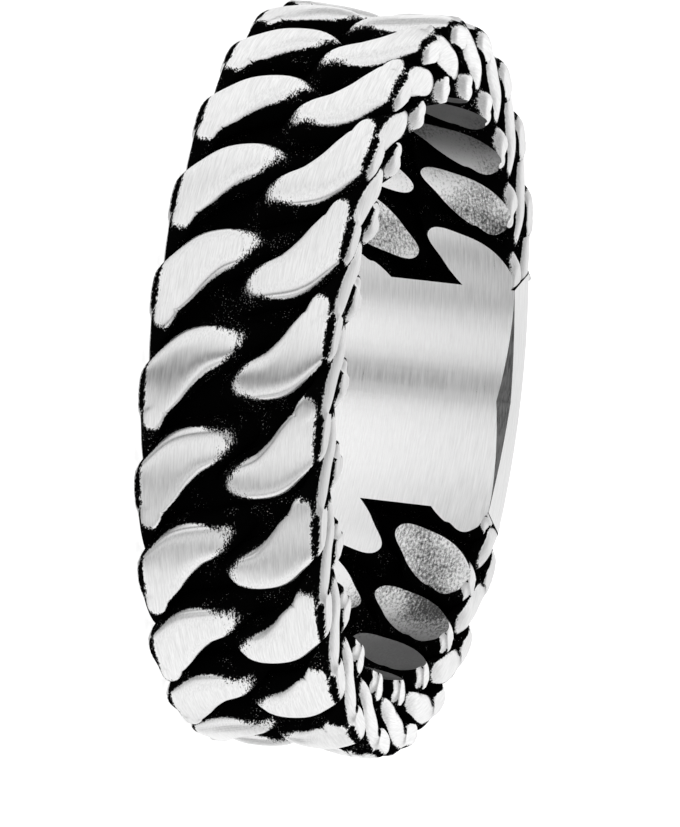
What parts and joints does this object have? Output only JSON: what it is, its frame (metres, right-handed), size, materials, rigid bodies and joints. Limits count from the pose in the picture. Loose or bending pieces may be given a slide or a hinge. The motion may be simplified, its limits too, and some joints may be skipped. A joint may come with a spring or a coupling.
{
  "type": "chain link finger ring",
  "caption": "Finger ring shaped as a closed band of flat interlocked curb links, joined at the back to a smooth curved plate.",
  "frame": {"origin": "centre of the ring's hole, on the surface that the ring lies on", "axes": "+Z along the finger hole; +X from the middle of the back plate to the middle of the links"},
  "size_m": [0.0253, 0.0256, 0.0066],
  "materials": {
    "plate_steel": "brushed round the finger, with soft broad highlights and a darkened rough seam at each end",
    "link_steel": "brushed and worn bright on the raised faces, with speckled black darkening in the recesses between links"
  },
  "bodies": {
    "root": {"back_plate": "plate_steel", "link_01": "link_steel", "link_02": "link_steel", "link_03": "link_steel", "link_04": "link_steel", "link_05": "link_steel", "link_06": "link_steel", "link_07": "link_steel", "link_08": "link_steel", "link_09": "link_steel", "link_10": "link_steel", "link_11": "link_steel", "link_12": "link_steel", "link_13": "link_steel", "link_14": "link_steel", "link_15": "link_steel", "link_16": "link_steel"}
  },
  "joints": []
}
